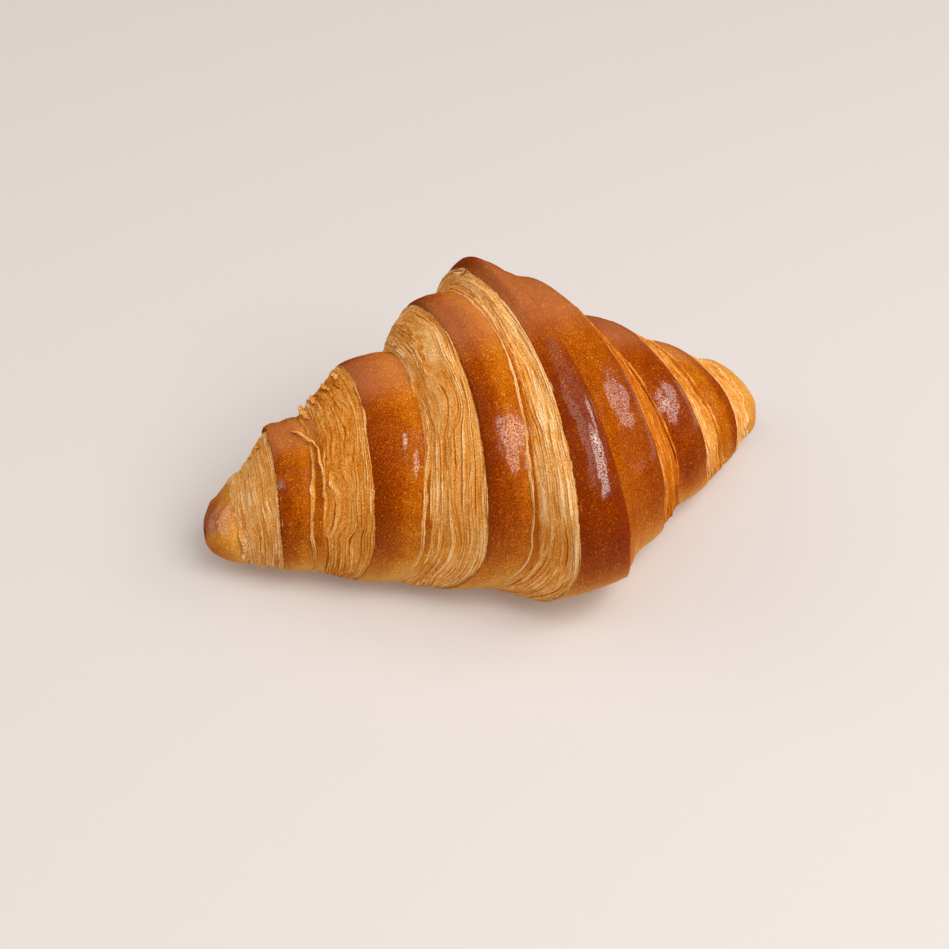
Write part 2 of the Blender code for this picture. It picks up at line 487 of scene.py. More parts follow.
class Finish:
    """A material under construction: its tree, its shader and a method for other nodes."""

    def __init__(self, name, **constants):
        self.material = bpy.data.materials.new(name)
        self.material.use_nodes = True
        self.tree = self.material.node_tree
        self.shader = self.tree.nodes["Principled BSDF"]
        for key, value in constants.items():
            self.shader.inputs[key.replace("_", " ")].default_value = value

    def node(self, kind, settings=None, output=0, **values):
        """A node of any type: its settings first, then its sockets' values or links."""
        made = self.tree.nodes.new("ShaderNode" + kind)
        for key, value in (settings or {}).items():
            if key == "stops":
                self.stops(made.color_ramp, value)
            else:
                setattr(made, key, value)
        for key, value in values.items():
            put(self.tree, made.inputs[key.replace("_", " ")], value)
        return Socket(self.tree, made.outputs[output])

    def stops(self, ramp, stops):
        """Colour stops of a ramp, as (place, colour)."""
        while len(ramp.elements) < len(stops):
            ramp.elements.new(1.0)
        for element, (place, colour) in zip(ramp.elements, stops):
            element.position = place
            element.color = (*colour, 1.0)

    def value(self, name, output="Fac"):
        """An attribute of the mesh: a number, or a vector if output is Vector."""
        return self.node("Attribute", {"attribute_name": name}, output=output)

    def speckle(self, per_mm, detail):
        """Noise over the object: per_mm cells in a millimetre."""
        coords = self.node("TexCoord", output="Object")
        return self.node("TexNoise", Vector=coords, Scale=per_mm / MM, Detail=detail)

    def mix(self, factor, first, second):
        """Two colours mixed by a factor."""
        node = self.tree.nodes.new("ShaderNodeMix")
        node.data_type = "RGBA"
        parts = (("Factor", "VALUE", factor), ("A", "RGBA", first), ("B", "RGBA", second))
        for name, kind, value in parts:
            fitting = [s for s in node.inputs if s.name == name and s.type == kind]
            put(self.tree, fitting[0], value)
        return Socket(self.tree, [s for s in node.outputs if s.type == "RGBA"][0])

    def into(self, **links):
        """Links into the Principled shader's sockets."""
        for key, value in links.items():
            put(self.tree, self.shader.inputs[key.replace("_", " ")], value)


# %% [markdown]
# ## Crust
#
# Baked, egg-washed crust is dark where it stands proud and amber where it was sheltered.
# How far each point is baked is worked out with the shape and kept as an attribute, bake.
# The shader turns it into colour through a ramp, and adds what is finer than the mesh:
# mottling of a few millimetres, a grain of a third of a millimetre, and pale specks.
#
# The gloss is all in the coat. Egg wash dries in grains, so the coat's weight is a fine
# noise times a second attribute, gloss, which says where the wash lies. Where it is thick
# the grains run together. A third attribute lays a pale haze over the colour. On the crown,
# where the oven dried the wash out, it is partly the wash's own colour and partly painted
# sheen of the bright room. Low down it is painted reflection of the floor.

# %% Crust finish
CRUST_RAMP = [  # from barely baked to dark
    (0.00, (0.75, 0.38, 0.070)),
    (0.22, (0.62, 0.240, 0.016)),
    (0.45, (0.49, 0.140, 0.004)),
    (0.70, (0.33, 0.060, 0.001)),
    (1.00, (0.17, 0.019, 0.001)),
]
# the pale haze: dried wash and painted sheen on the crown, painted floor reflection low down
DRY_WASH_AND_SHEEN = (0.52, 0.21, 0.10, 1.0)
FINE_RELIEF = 0.1 * MM  # height of the bumps that are finer than the mesh


def crust_finish():
    """Crust: a ramp over bake, mottled and speckled, under egg wash that lies in grains."""
    finish = Finish("baked crust", Metallic=0.0, IOR=1.0, Roughness=0.6,
                    Coat_IOR=1.75, Coat_Roughness=0.12)
    gloss = finish.value("gloss")
    mottle = finish.speckle(0.25, detail=3.0)
    grain = finish.speckle(3.2, detail=1.0)
    specks = finish.speckle(1.7, detail=0.0).between(0.69, 0.76)
    baked = finish.value("bake") + (mottle - 0.5) * 0.26
    baked = baked + (0.5 - grain.between(0.30, 0.70)) * 0.36 - specks * 0.28
    colour = finish.node("ValToRGB", {"stops": CRUST_RAMP}, Fac=baked.clamped())
    # mixes in the pale haze: painted sheen over the dried wash on the crown, painted floor
    # reflection low down
    colour = finish.mix(finish.value("dry") * 0.30, colour, DRY_WASH_AND_SHEEN)
    grains_of_wash = (finish.speckle(3.0, detail=1.0) + gloss * 0.08).between(0.49, 0.57)
    bump = finish.node("Bump", Strength=1.0, Distance=FINE_RELIEF, Height=grain)
    finish.into(Base_Color=colour, Normal=bump, Coat_Weight=grains_of_wash * gloss)
    return finish.material


crust = crust_finish()
print(crust.name, "has", len(crust.node_tree.nodes), "nodes")

# %% [markdown]
# ## Leaves
#
# The cut edge of the dough is a stack of leaves a fraction of a millimetre thick. Each one
# is real relief in the mesh. The attribute pale says how far a point stands out, and through
# the ramp it paints light on the crests and shade in the grooves.
#
# The attribute fibre is a place in the stack: which leaf, and how far round the ring. Noise
# read there is long and thin along the leaves, however they bend, which noise over the
# object could not be. It gives fibres, hairline cracks darkened with painted shade, and thin
# edges lit with painted light. A last noise scatters pale crumbs.

# %% Leaf finish
LEAF_RAMP = [  # from dark, toasted and in painted shade, to pale and in painted light
    (0.00, (0.46, 0.090, 0.004)),
    (0.28, (0.62, 0.185, 0.012)),
    (0.56, (0.75, 0.315, 0.056)),
    (0.80, (0.86, 0.475, 0.165)),
    (1.00, (0.95, 0.650, 0.350)),
]


def leaf_finish():
    """Leaves: a ramp over how far each leaf stands out, with fibres along it, matte.

    Hairline cracks, darkened with painted shade, and bright edges, lit with painted light,
    lie where a slow noise crosses one value, as contour lines do on a map.
    """
    finish = Finish("pastry leaves", Metallic=0.0, IOR=1.0, Roughness=0.6)
    place = finish.value("fibre", output="Vector")
    fibre = finish.node("TexNoise", Vector=place, Scale=1.6, Detail=3.0, Roughness=0.65)
    fibre = fibre.between(0.30, 0.70)
    wave = finish.node("TexNoise", Vector=place, Scale=0.75, Detail=1.0)
    # hairline cracks: dark lines of painted shade, and a dip in the bump
    crack_shade = 1.0 - (wave - 0.5).math("ABSOLUTE").between(0.0, 0.022)
    # thin bright edges: painted light
    light = 1.0 - (wave - 0.57).math("ABSOLUTE").between(0.0, 0.03)
    mottle = finish.speckle(0.3, detail=2.0)
    grain = finish.speckle(3.2, detail=2.0).between(0.30, 0.70)
    crumbs = finish.speckle(2.4, detail=0.0).between(0.66, 0.76)
    tone = finish.value("pale") + (mottle - 0.5) * 0.24 + (grain - 0.5) * 0.42
    tone = tone + (fibre - 0.5) * 0.30 - crack_shade * 0.14 + light * 0.16 + crumbs * 0.22
    colour = finish.node("ValToRGB", {"stops": LEAF_RAMP}, Fac=tone.clamped())
    height = fibre + grain * 0.6 - crack_shade + light * 0.5
    bump = finish.node("Bump", Strength=1.0, Distance=FINE_RELIEF, Height=height)
    finish.into(Base_Color=colour, Normal=bump)
    return finish.material


leaves = leaf_finish()
print(leaves.name, "has", len(leaves.node_tree.nodes), "nodes")

# %% [markdown]
# ## Crust bands
#
# A band swells between its two edges. At its rim, which stands over the leaves, the crust
# is a thin plate with a crisp edge. At its foot it comes out from under the next turn of
# dough, so there it simply runs on inwards, out of sight. The rim and the foot are short
# lists of steps, in from the edge and down, and one function joins them into a section.

# %% Section of a strip
AROUND = 480  # points round every ring
BAND_ROWS = 34  # rows across a band, besides those of its edges
WALL = 2.4  # depth of a strip's inner wall under its surface, in mm
WALL_ROWS = 3
LEAST_HEIGHT = 0.02  # mm over the table, below which nothing goes
RIM = [(0.9, WALL), (0.45, 0.95), (0.10, 0.50), (0.0, 0.24), (0.10, 0.08), (0.35, 0.0)]
FOOT = [(0.0, 0.0), (-0.5, 0.5), (-1.2, 1.6), (-1.7, WALL)]  # mm from the edge, mm down
BANDS = [  # name, first and last hoop, rim at its start, at its end, swelling in mm, its place
    ("crust_left_outer", 2, 3, True, False, 0.6, 0.5),
    ("crust_left_middle", 4, 5, True, False, 1.1, 0.5),
    ("crust_left_inner", 6, 7, True, False, 1.4, 0.36),
    ("crust_centre", 8, 9, True, True, 2.2, 0.6),
    ("crust_right_inner", 9, 11, False, True, 3.6, 0.72),
    ("crust_right_middle", 12, 13, False, True, 3.0, 0.62),
    ("crust_right_outer", 14, 15, False, True, 1.8, 0.5),
]


def width_of(first, last):
    """Width of a strip in mm along its surface, about halfway up its front."""
    step = TABLE[first:last + 1]
    return np.hypot(np.diff(step[:, 2]), np.diff(step[:, 4])).sum()


def closed_profile(first, last, starts, ends, rows):
    """Section of a strip as a closed loop: place along the hoops and depth in mm.

    starts and ends are the shapes of its two edges, as (mm in from the edge, mm down).
    They are joined by the outer surface and, further down, by the inner wall.
    """
    scale = (last - first) / width_of(first, last)
    begin = np.array([(first + mm * scale, down) for mm, down in starts])
    close = np.array([(last - mm * scale, down) for mm, down in ends])[::-1]
    outer = np.linspace(begin[-1, 0], close[0, 0], rows + 2)[1:-1]
    wall = np.linspace(close[-1, 0], begin[0, 0], WALL_ROWS + 2)[1:-1]
    place = np.concatenate([begin[:, 0], outer, close[:, 0], wall])
    down = np.concatenate([begin[:, 1], 0 * outer, close[:, 1], 0 * wall + WALL])
    return place, down


def keep_above_table(points, depth):
    """Holds every point above the table, the tucked-in ones a little higher."""
    points[..., 2] = np.maximum(points[..., 2], LEAST_HEIGHT + np.maximum(depth, 0.0))
    return points


print("widths in mm:", {band[0]: round(float(width_of(*band[1:3])), 1) for band in BANDS})

# %% [markdown]
# ## How far the crust is baked
#
# Heat reaches the crust most at the rims, which stand out, and least low down at the sides,
# where the tray shields them. A few bands differ from that rule, and their own share of
# brown is listed by name. Where the centre band overhangs the band beside it, high up, the
# fold is darkened with painted shade.

# %% Baking
BAKED = 0.57  # how far crust is baked at a band's foot, from 0, raw, to 1, dark
MORE_AT_RIM = 0.27
LESS_LOW_DOWN = 0.74
LESS_ON_CROWN = 0.08
PATCHES = 0.13  # slow uneven patches all round
TOWARD = {  # a more even band: how far its foot counts as rim, and how much it gains
    "crust_right_inner": (0.50, 0.14),
    "crust_right_middle": (0.62, 0.08),
}
OWN_BROWN = {  # what else a band has: all over, on the crown, low down
    "crust_centre": (0.16, -0.16, -0.34),
    "crust_right_inner": (0.0, 0.0, -0.12),
    "crust_right_middle": (0.08, 0.0, -0.30),
}
FOLD_WIDTH = 0.07  # width of the fold beside the centre band, darkened by painted shade, as a share
FOLD_SHADE, FOLD_LESS_LOW = 0.34, 0.70
PALE_CORNER = 0.25  # how much paler the left outer band's upturned corner is


def upturned(share, angle):
    """Where the left outer band's far corner stands up, 0 to 1."""
    return bell((np.degrees(angle) - 58) / 28) * smooth(1 - share / 0.5)


def band_bake(share, angle, rim_first, rim_last, name, seed):
    """How far crust is baked, 0 to 1: more by the rims, less low down and on the crown.

    share runs from 0 at the band's first hoop to 1 at its last.
    """
    if rim_first and rim_last:
        toward_rim = 0.80 + 0.20 * np.abs(2 * share - 1)
    elif rim_first:
        toward_rim = 1 - share
    else:
        start, gain = TOWARD.get(name, (0.0, 1.0))
        toward_rim = start + gain * share
    low = low_down(angle, -0.15, 0.9)
    crown = high_up(angle, 0.75, 0.25)
    patch = octaves(seed, 3, 11, share, angle / (2 * np.pi))
    bake = BAKED + MORE_AT_RIM * smooth(toward_rim * 1.1)
    bake = bake - LESS_LOW_DOWN * low - LESS_ON_CROWN * crown + PATCHES * patch
    all_over, on_crown, lower = OWN_BROWN.get(name, (0.0, 0.0, 0.0))
    bake = bake + all_over + on_crown * crown + lower * low
    # painted shade: the fold where the centre band overhangs this band is darkened high up; low
    # down it is lighter
    if name == "crust_right_inner":
        bake = bake + (FOLD_SHADE - FOLD_LESS_LOW * low) * smooth(1 - share / FOLD_WIDTH)
    if name == "crust_left_outer":
        bake = bake - PALE_CORNER * upturned(share, angle)
    return np.clip(bake, 0, 1)


sample = band_bake(np.array([0.0, 0.5, 1.0]), np.full(3, np.pi), True, False, "left", 0)
print("a plain band in front is baked", sample.round(2), "at its rim, middle and foot")

# %% [markdown]
# ## Egg wash
#
# The wash is a thin coat that ran down and gathered low at the sides. The brush left it
# thick in a few spots on the front, and only those shine. Each spot is an ellipse over
# share and angle, with an edge that noise makes ragged. On the crown the wash dried out.

# %% Egg wash
THIN_WASH = 0.09  # egg wash all over
LOW_WASH = 0.24  # how much more there is low down
SPOT_EDGE = 3.2  # how sharply a thick spot ends
SPOT_RAGGED = 1.2  # how ragged that end is
GLAZED = {  # thick spots: share and half-share, angle and half-angle, how much
    "crust_left_outer": [(0.15, 0.10, 131, 5, 0.8)],
    "crust_left_middle": [(0.64, 0.035, 131, 4, 0.8), (0.84, 0.035, 143, 6, 0.8)],
    "crust_left_inner": [(0.65, 0.35, 145, 16, 0.62)],
    "crust_centre": [(0.60, 0.34, 134, 25, 1.0)],
    "crust_right_inner": [(0.66, 0.36, 141, 20, 0.6)],
    "crust_right_middle": [(0.50, 0.42, 143, 15, 0.7)],
}


def dryness_and_sheen(angle):
    """How far the oven dried the egg wash, 0 to 1: along the crown, a little off the front.

    The pale haze of painted sheen lies there too.
    """
    return high_up(angle, 0.86, 0.13) * rises(np.cos(angle), -0.42, 0.3)


def band_gloss(share, angle, name, seed):
    """How much egg wash there is, 0 to 1: a thin coat, and thick spots with ragged edges."""
    gloss = THIN_WASH * (1 - dryness_and_sheen(angle)) + LOW_WASH * low_down(angle, -0.3, 0.8)
    patch = octaves(seed, 4, 60, share, angle / (2 * np.pi))
    for middle, half, turn, half_turn, much in GLAZED.get(name, []):
        off = np.hypot((share - middle) / half, (np.degrees(angle) - turn) / half_turn)
        gloss = gloss + much * smooth(SPOT_EDGE * (1 - off) + 0.5 + SPOT_RAGGED * patch)
    return np.clip(gloss, 0, 1)


print(sum(len(spots) for spots in GLAZED.values()), "thick spots of egg wash")

# %% [markdown]
# ## Building the bands
#
# A band's swelling is a flattened parabola with its top moved to one side. The part of it
# past 1 mm lies on the front's shoulder, where the dough is free to rise.
# Dents at two scales keep the highlights from looking machined, and each rim is ragged.

# %% Build the bands
SWELL_POWER = 2.3  # power of the flattened parabola
ALL_ROUND = 1.0  # mm of swelling that every part of a ring gets
FREE_TURN, FREE_HALF = 140, 34  # where the rest of it lies on the front, in degrees
LOW_FLATTER = 0.7  # how much less a band swells low down
CENTRE_LOW_FLATTER = 0.15
UPTURN = 1.4  # how far the left outer band's far corner stands up, in mm
UNDERCUT = 1.0  # how far the band beside the centre one starts below its rim, in mm
UNDERCUT_WIDTH = 0.22  # share of that band over which it comes up
INNER_SOFTEN = 0.35  # how far its inner hoop is rounded off, in hoops
DENTS, FINE_DENTS = 0.25, 0.07  # mm
RAGGED = 0.07  # how ragged a rim is, in mm


def build_band(name, first, last, rim_first, rim_last, swelling, peak):
    """One crust band, closed: the body's surface, swollen by the flattened parabola.

    The swelling at a share s is swelling times 1 less |2 t - 1| to SWELL_POWER, where t is
    s to the power that makes t a half at the peak.
    """
    seed = 300 + 7 * first
    edges = [RIM if rim else FOOT for rim in (rim_first, rim_last)]
    place, down = closed_profile(first, last, *edges, BAND_ROWS)
    place, angle = rings(place, AROUND)
    down = np.repeat(down[:, None], AROUND, axis=1)
    v = angle / (2 * np.pi)
    share = np.clip((place - first) / (last - first), 0, 1)
    low = low_down(angle)

    skewed = share ** (math.log(0.5) / math.log(peak))
    free = bell((np.degrees(angle) - FREE_TURN) / FREE_HALF)
    swollen = np.minimum(swelling, ALL_ROUND) + np.maximum(swelling - ALL_ROUND, 0.0) * free
    flatter = CENTRE_LOW_FLATTER if name == "crust_centre" else LOW_FLATTER
    out = swollen * (1 - np.abs(2 * skewed - 1) ** SWELL_POWER) * (1 - flatter * low)
    if name == "crust_left_outer":
        out = out + UPTURN * upturned(share, angle)
    if name == "crust_right_inner":
        out = out - UNDERCUT * (1 - smooth(share / UNDERCUT_WIDTH))
    dents = DENTS * octaves(seed, 3, 26, share, v)
    dents = dents + FINE_DENTS * octaves(seed + 40, 9, 110, share, v, 2)
    out = out + dents * np.clip(1 - down, 0, 1) - down

    near_rim = np.maximum(rim_first * (1 - 4 * share), rim_last * (4 * share - 3))
    ragged = noise(seed + 60, 1, 240, 0 * v, v) + 0.6 * noise(seed + 61, 1, 40, 0 * v, v)
    scale = (last - first) / width_of(first, last)
    place = place + RAGGED * scale * ragged * np.clip(near_rim, 0, 1)
    soften = INNER_SOFTEN if name == "crust_right_inner" else 0.0
    points = keep_above_table(on_body(place, angle, out, soften) - MIDDLE, down)
    flat = points.reshape(-1, 3)
    # the pale haze: painted sheen with the dried wash on the crown, painted reflection of the
    # floor low down
    values = {"bake": band_bake(share, angle, rim_first, rim_last, name, seed + 5),
              "gloss": band_gloss(share, angle, name, seed + 6),
              "dry": dryness_and_sheen(angle) + 0.5 * low}
    return flat, facing_out(flat, hoop_faces(len(points), AROUND)), values


for band in BANDS:
    dress(make_object(band[0], *build_band(*band)), crust)

# %% [markdown]
# ## Caps
#
# The two tips are the ends of the roll, closed domes of crust. A dome is the same grid as
# a band, but it starts at one point. Past its hoop it tucks under the leaves and runs back
# inside, so that it is closed as well.

# %% Caps
CAP_ROWS, CAP_AROUND = 44, 300
CAP_START = 0.03  # place of the first ring, as a share of the cap
CAP_TUCK = np.array([(1.05, 0.35), (1.14, 1.3), (1.2, 2.0)])  # place past the hoop, mm down
CAP_INSIDE = np.linspace(1.1, 0.4, 4)  # places of the rings of the inner wall
CAP_DENTS, CAP_FINE_DENTS = 0.70, 0.22  # mm
CAP_WASH, CAP_DRY_AND_SHEEN = 0.25, 0.3  # egg wash, and the pale haze of dried wash and painted sheen, all over a cap
CAP_SPOT = (0.70, 0.22, 116, 20)  # its thick spot: place and half, angle and half-angle


def cap_faces(rows, around):
    """Quads of a grid, and triangles to a point before its first row and after its last."""
    i, j = np.meshgrid(np.arange(rows - 1), np.arange(around), indexing="ij")
    quads = quads_of(i, j, i + 1, (j + 1) % around, around)
    k = np.arange(around)
    k_next = (k + 1) % around
    base = (rows - 1) * around
    start = np.stack([np.full(around, rows * around), k_next, k], axis=-1)
    finish = np.stack([np.full(around, rows * around + 1), base + k, base + k_next], axis=-1)
    return quads, start, finish


def cap_look(left, inside, angle, seed):
    """How far a cap is baked and how much egg wash it has, both 0 to 1.

    inside runs from 0 at the tip to 1 at the hoop. The left cap is browner behind its crest
    and has one thick spot of wash. The right cap is brown only near its point.
    """
    bake = 0.16 * octaves(seed, 2, 6, inside, angle / (2 * np.pi))
    gloss = np.full_like(bake, CAP_WASH)
    if left:
        behind = smooth((np.cos(angle) + np.sin(angle) + 0.6) / 1.6)
        bake = bake + 0.34 + 0.40 * behind * smooth(1.3 - inside)
        bake = bake - 0.20 * rises(inside, 0.45, 0.5)
        at, half, turn, half_turn = CAP_SPOT
        off = np.hypot((np.degrees(angle) - turn) / half_turn, (inside - at) / half)
        gloss = gloss + smooth(1.6 - off + 0.5 * bake)
    else:
        bake = bake + 0.12 + 0.45 * smooth(1 - 2 * inside)
    return np.clip(bake, 0, 1), np.clip(gloss, 0, 1)


def with_poles(values):
    """The values of a grid as one list, then those of the points at its two ends."""
    return np.concatenate([values.ravel(), values[0, :1], values[-1, :1]])


def build_cap(tip):
    """A closed dome: outer rings from the tip, a tuck under the leaves, and back inside."""
    left = tip == 0
    outer = np.linspace(CAP_START, 1.0, CAP_ROWS)
    reach = np.concatenate([outer, CAP_TUCK[:, 0], CAP_INSIDE])
    down = np.concatenate([0 * outer, CAP_TUCK[:, 1], 0 * CAP_INSIDE + CAP_TUCK[-1, 1]])
    reach, angle = rings(reach, CAP_AROUND)
    down = np.repeat(down[:, None], CAP_AROUND, axis=1)
    v = angle / (2 * np.pi)
    inside = np.clip(reach, 0, 1)
    dents = CAP_DENTS * octaves(400 + tip, 3, 9, inside, v)
    dents = dents + CAP_FINE_DENTS * octaves(420 + tip, 7, 40, inside, v)
    dents = dents * (1 - 0.8 * rises(inside, 0.5, 0.4))
    out = dents * np.clip(1 - down, 0, 1) * np.clip(3 * reach, 0, 1) - down
    points = on_body(reach if left else LAST - reach, angle, out) - MIDDLE
    points = keep_above_table(points, down)
    pole = on_body(np.full((1, 1), float(tip)), np.zeros((1, 1)), np.zeros((1, 1))) - MIDDLE
    inner_pole = points[-1].mean(axis=0)
    flat = np.concatenate([points.reshape(-1, 3), pole.reshape(1, 3), inner_pole[None]])
    bake, gloss = cap_look(left, inside, angle, 430 + tip)
    # the caps get the pale haze of painted sheen evenly all over
    values = {"bake": with_poles(bake), "gloss": with_poles(gloss),
              "dry": np.full(len(flat), CAP_DRY_AND_SHEEN)}
    return flat, facing_out(flat, *cap_faces(len(points), CAP_AROUND)), values


for tip, name in ((0, "crust_left_cap"), (LAST, "crust_right_cap")):
    dress(make_object(name, *build_cap(tip)), crust)

# %% [markdown]
# ## Counting the leaves
#
# The leaves of a face could be drawn as evenly spaced ridges, but dough isn't so regular.
# Here they are counted instead: a density says how many leaves there are to a row, and its
# running sum gives every point its leaf number. Where the density is low, one leaf spreads
# into a smooth tongue. Where it is high, many crowd together, as they do beside every rim.

# %% Leaf numbers
UNEVEN, FINE_UNEVEN = 0.75, 0.40  # how far the leaves' thickness varies
CROWDED = 0.8  # how many more leaves there are beside a rim
WANDER, FINE_WANDER, TREMBLE = 0.8, 0.35, 0.10  # how far a leaf strays, in leaves
WIDER_TONGUE = 0.75  # how much less dense the leaves are on a tongue


def middle_of(u):
    """1 halfway across a face and 0 at both its edges, as half a circle."""
    return np.clip(u * (1 - u) * 4, 0, 1) ** 0.5


def tongue_of(seed, u, v, wild):
    """Where one leaf spreads wide, 0 to 1: slow noise, away from the edges."""
    tongue = rises(noise(seed, 4, 9, u, v), 0.05, 0.4)
    return tongue * rises(middle_of(u), 0.45, 0.4) * min(1.0, 1.4 * wild)


def leaf_numbers(seed, u, v, low, count, wild):
    """Leaf number of each point, 0 to count and a little past both.

    The density is e to the power of slow noise. Its running sum across the face is scaled
    to count, and noise round the ring lets each leaf stray: most halfway across the face,
    and less low down. wild, 0 to 1, is how far they do.
    """
    middle = middle_of(u)
    density = np.exp(UNEVEN * wild * noise(seed + 1, 7, 9, u, v)
                     + FINE_UNEVEN * noise(seed + 6, 17, 16, u, v))
    density = density * (1 - WIDER_TONGUE * tongue_of(seed, u, v, wild))
    density = density + CROWDED * (1 - middle)
    number = np.cumsum(density, axis=0)
    number = number / number[-1:] * count
    stray = WANDER * noise(seed + 2, 3, 8, u, v) + FINE_WANDER * noise(seed + 7, 8, 34, u, v)
    number = number + middle * ((1 - 0.7 * low) * wild) * stray
    return number + TREMBLE * octaves(seed + 9, count, 150, u, v, 2)


u, v = np.meshgrid(np.linspace(0, 1, 100), np.linspace(0, 1, 100), indexing="ij")
sample = leaf_numbers(1, u, v, 0 * u, 20, 0.6)
print("sample leaf numbers halfway across run from",
      sample[50].min().round(1), "to", sample[50].max().round(1), "of 20")

# %% [markdown]
# ## Relief of the leaves
#
# A leaf is a shingle: a sharp lip toward the foot of the face, then a slow fall toward the
# next lip. Each has a height of its own that changes slowly round the ring, so a leaf
# stands out, fades, and another takes over. Some stand proud, some leave an open gap
# behind them, and near the crown a finer noise crumples them into a web.

# %% Leaf relief
LEAF_HEIGHT = 0.50  # how far a common leaf stands over its groove, in mm
GROUP_HEIGHT = 0.30  # relief of bundles of leaves, in mm
CRUMPLE = 0.22  # relief of torn, webby places, in mm
GAP_DEPTH = 0.34  # depth of an open gap between two leaves, in mm
TONGUE_DEPTH = 0.15  # how far a smooth tongue lies back, in mm
COLUMNS = 18  # places round a ring where each leaf has a height of its own


def per_leaf(seed, leaf, v, count, columns=COLUMNS):
    """A random number from 0 to 1 for each leaf, which changes smoothly round the ring."""
    table = np.random.default_rng(seed).uniform(0, 1, (count + 8, columns))
    y = v * columns
    j = np.floor(y).astype(int) % columns
    b = smooth(y - np.floor(y))
    return table[leaf, j] * (1 - b) + table[leaf, (j + 1) % columns] * b


def leaf_relief(seed, u, v, low, count, wild):
    """Relief in mm, paleness (0 to 1) and leaf number of a face.

    u runs from foot to rim and v round the ring. The relief is the lip of each leaf times
    its own amount, and bundles, and crumples, less the tongues and the open gaps. Paleness
    follows the same parts, as painted light on what stands out and painted shade before the
    next lip and in the open gaps.
    """
    middle = middle_of(u)
    tongue = tongue_of(seed, u, v, wild)
    number = leaf_numbers(seed, u, v, low, count, wild)
    leaf = np.clip(np.floor(number).astype(int) + 3, 0, count + 7)
    within = number - np.floor(number)

    stand = per_leaf(seed + 3, leaf, v, count) ** 2
    proud = rises(per_leaf(seed + 8, leaf, v, count), 0.74, 0.14)
    torn_off = per_leaf(seed + 5, leaf, v, count, 3 * COLUMNS)
    gap = rises(per_leaf(seed + 11, leaf, v, count), 0.72, 0.12)
    gap = gap * rises(within, 0.70, 0.18) * smooth(2.2 * middle)
    crown = high_up(2 * np.pi * v, 0.35, 0.35)
    torn = smooth((noise(seed + 12, 3, 9, u, v) + 0.3 * crown) / 0.45)
    torn = torn * (0.3 + 0.7 * crown) * middle * min(1.0, 1.4 * wild)

    lip = smooth(within / 0.16) * (1 - 0.6 * within)
    shade = rises(within, 0.80, 0.2)
    amount = (0.18 + 0.50 * stand + 0.55 * proud) * (0.5 + 0.5 * torn_off)
    amount = amount * (1 - 0.75 * tongue) * (1 - 0.5 * torn)
    groups = octaves(seed + 4, max(3, count // 5), 16, np.clip(number / count, 0, 1), v, 2)
    crumple = octaves(seed + 13, count, 130, u, v, 3)
    relief = LEAF_HEIGHT * (1.6 * amount * lip - 0.4) + GROUP_HEIGHT * groups * middle
    relief = relief - TONGUE_DEPTH * tongue - GAP_DEPTH * gap
    relief = relief + CRUMPLE * crumple * (0.25 + torn)
    # paleness: painted light on the lips and on what stands out, painted shade before the next
    # lip and in the gaps
    pale = 0.40 + 0.62 * amount * lip - 0.26 * shade * (1 - tongue) + 0.16 * groups
    pale = pale + 0.12 * (1 - middle) + 0.14 * tongue
    pale = pale + 0.25 * crumple * (0.3 + torn) - 0.4 * gap
    return relief, np.clip(pale, 0, 1), number


sample = leaf_relief(1, u, v, 0 * u, 20, 0.6)[0]
print("sample relief runs from", sample.min().round(2), "to", sample.max().round(2), "mm")

# %% [markdown]
# ## Building the faces
#
# The face is laid on the sloping strip between two fold edges and pushed out along its own
# normal, so the leaves stand square to the slope. At the foot it laps over the crust of the
# turn below, and at the rim it ends just under the crust plate above. Faces differ: some
# are fuller toward the top, some have a groove along the foot, darkened with painted shade,
# and the one that sits in the shade of the right inner band is the darkest, partly browner
# dough and partly painted shade.

# %% Build the faces
FACE_AROUND = 600
ROWS_PER_LEAF = 5
FACE_FOOT = [(-0.9, WALL), (-0.7, 0.9), (-0.25, 0.35), (-0.02, 0.10), (0.1, 0.0)]
FACE_RIM = [(0.0, 0.0), (-0.5, 0.5), (-1.0, 1.2), (-1.2, WALL)]
LAP, LAP_WIDTH = 0.45, 0.08  # how far the foot lies over the crust, in mm, and its share
SUNK, LOW_SUNK = 0.05, 0.30  # how far a face lies back, and more so low down, in mm
FOOT_STRAY, STRAY_WIDTH = 0.45, 0.12  # how far the foot's line strays, in mm, and its share
THICK = 0.6  # length of one leaf in the fibres' noise
FIBRE_ROUND = 0.045  # length of a millimetre round the ring there: short, so fibres are long
HIDDEN_PALE = 0.3  # paleness of the inner wall
FACES = [  # name, first hoop, foot at start, leaves, paler (less is partly painted shade), fuller mm, groove mm, wild
    ("leaves_left_outer", 1, True, 26, 0.13, 0.7, 0.0, 0.15),
    ("leaves_left_middle", 3, True, 25, -0.09, 0.8, 0.55, 0.45),
    ("leaves_left_inner", 5, True, 25, 0.06, 1.6, 0.1, 0.8),
    ("leaves_centre_left", 7, True, 20, 0.12, 0.0, 0.2, 0.6),
    ("leaves_right_inner", 11, False, 17, -0.42, 0.0, 0.3, 0.6),
    ("leaves_right_middle", 13, False, 14, -0.06, 0.0, 0.1, 0.9),
    ("leaves_right_outer", 15, False, 8, 0.10, 0.0, 0.0, 0.4),
]


